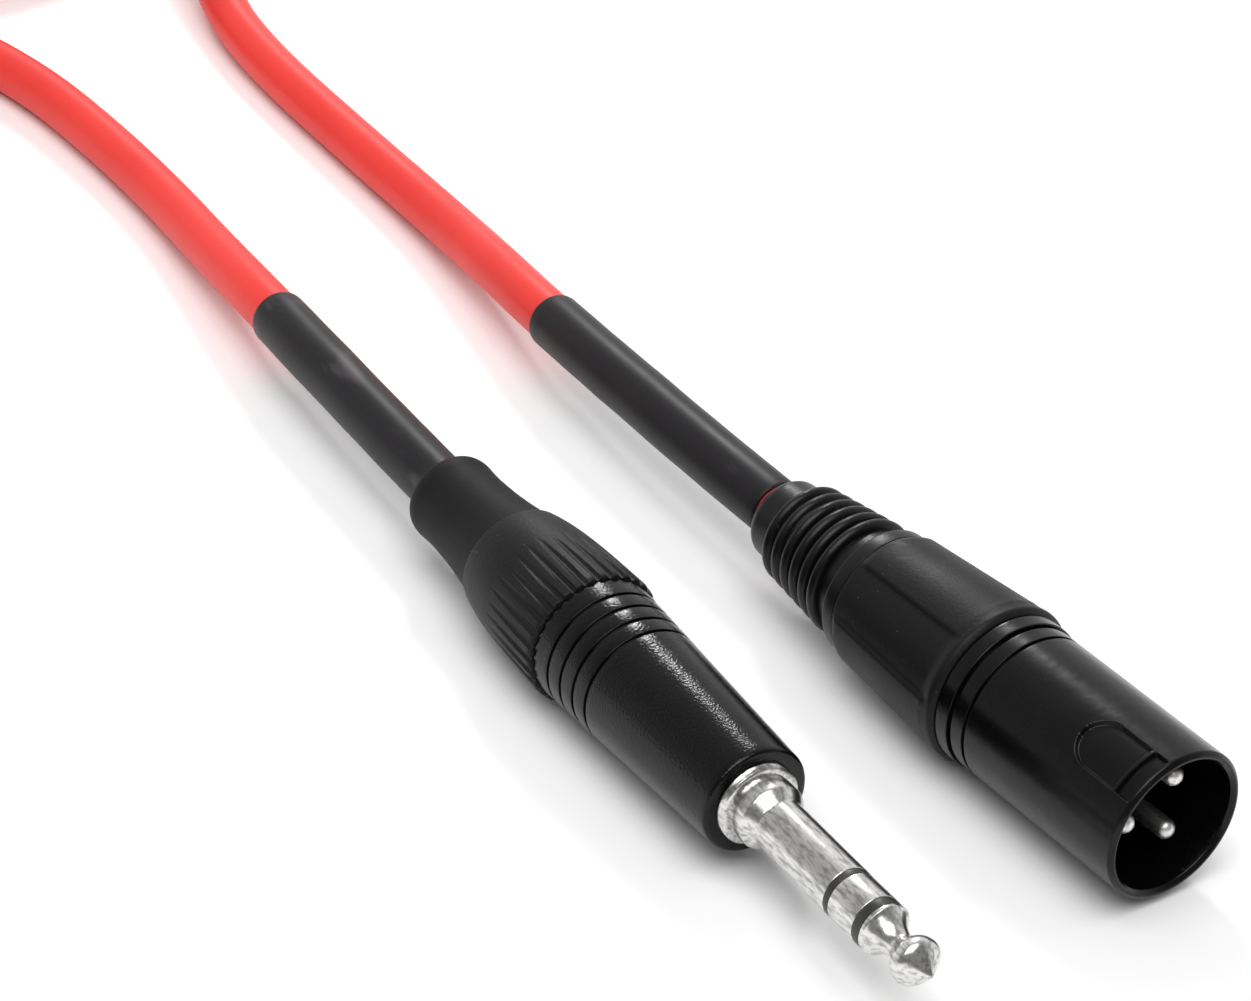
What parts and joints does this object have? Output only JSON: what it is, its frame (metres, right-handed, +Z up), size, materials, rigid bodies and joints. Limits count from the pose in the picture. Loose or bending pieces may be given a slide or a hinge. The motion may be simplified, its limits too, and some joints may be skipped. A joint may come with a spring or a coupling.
{
  "type": "balanced audio cable",
  "caption": "Balanced audio lead with a stereo jack plug and a three-pole XLR plug, its spare cable in a tied round coil.",
  "frame": {"origin": "on the surface the lead lies on, under the middle of the box of the two plugs", "axes": "+Y along the XLR plug's axis towards its rim, +Z up from the surface, +X towards the jack plug"},
  "size_m": [0.0926, 0.3588, 0.0211],
  "materials": {
    "shell_black": "glossy black paint over die-cast zinc, slight orange peel",
    "barrel_black": "glossy black paint over turned metal",
    "insert_black": "moulded glossy black",
    "pin_silver": "silver plated, softly polished",
    "tag_brass": "tinned brass",
    "chuck_grey": "moulded matt grey",
    "grip_black": "satin moulded black",
    "boot_black": "satin to glossy black rubber",
    "nut_black": "satin moulded black",
    "nickel": "bright nickel plate",
    "insulator_black": "matt black",
    "cable_red": "satin soft PVC jacket",
    "shrink_black": "satin heat-shrink sleeve",
    "core_white": "wire insulation",
    "core_blue": "wire insulation",
    "copper": "bare tinned copper strands",
    "tie_black": "woven hook-and-loop strap"
  },
  "bodies": {
    "lead": {"xlr_shell": "shell_black", "xlr_insert": "insert_black", "xlr_pin_1": "pin_silver", "xlr_pin_2": "pin_silver", "xlr_pin_3": "pin_silver", "xlr_ground_contact": "tag_brass", "xlr_hot_core": "core_white", "xlr_cold_core": "core_blue", "xlr_drain_wire": "copper", "xlr_heat_shrink": "shrink_black", "jack_sleeve_contact": "nickel", "jack_ring_contact": "nickel", "jack_tip_contact": "nickel", "jack_rear_insulator": "insulator_black", "jack_front_insulator": "insulator_black", "jack_sleeve_lug": "tag_brass", "jack_ring_lug": "tag_brass", "jack_tip_lug": "tag_brass", "jack_barrel": "barrel_black", "jack_hot_core": "core_white", "jack_cold_core": "core_blue", "jack_drain_wire": "copper", "jack_heat_shrink": "shrink_black", "cable_jack_run": "cable_red", "cable_xlr_run": "cable_red", "cable_coil": "cable_red", "coil_tie": "tie_black"},
    "xlr_chuck": {"xlr_chuck": "chuck_grey"},
    "xlr_bushing": {"xlr_grip": "grip_black", "xlr_boot": "boot_black"},
    "jack_chuck": {"jack_chuck": "chuck_grey"},
    "jack_bushing": {"jack_nut": "nut_black", "jack_boot": "boot_black"}
  },
  "joints": [
    {"name": "xlr_chuck_slide", "type": "slide", "parent": "lead", "child": "xlr_chuck", "axis": [0, -1, 0], "range_m": [0, 0.00426]},
    {"name": "xlr_bushing_turn", "type": "hinge", "parent": "xlr_chuck", "child": "xlr_bushing", "pos_m": [-0.0161, 0, 0.0103], "axis": [0, -1, 0], "range_deg": [0, 1530]},
    {"name": "jack_chuck_slide", "type": "slide", "parent": "lead", "child": "jack_chuck", "axis": [-0.0645, -0.9979, 0], "range_m": [0, 0.00395]},
    {"name": "jack_nut_turn", "type": "hinge", "parent": "jack_chuck", "child": "jack_bushing", "pos_m": [0.0208, 0.0356, 0.0088], "axis": [-0.0645, -0.9979, 0], "range_deg": [0, 1890]}
  ],
  "couplings": [
    {"joint": "xlr_chuck_slide", "follows": "xlr_bushing_turn", "m_per_rad": 0.00015915},
    {"joint": "jack_chuck_slide", "follows": "jack_nut_turn", "m_per_rad": 0.00011937}
  ]
}
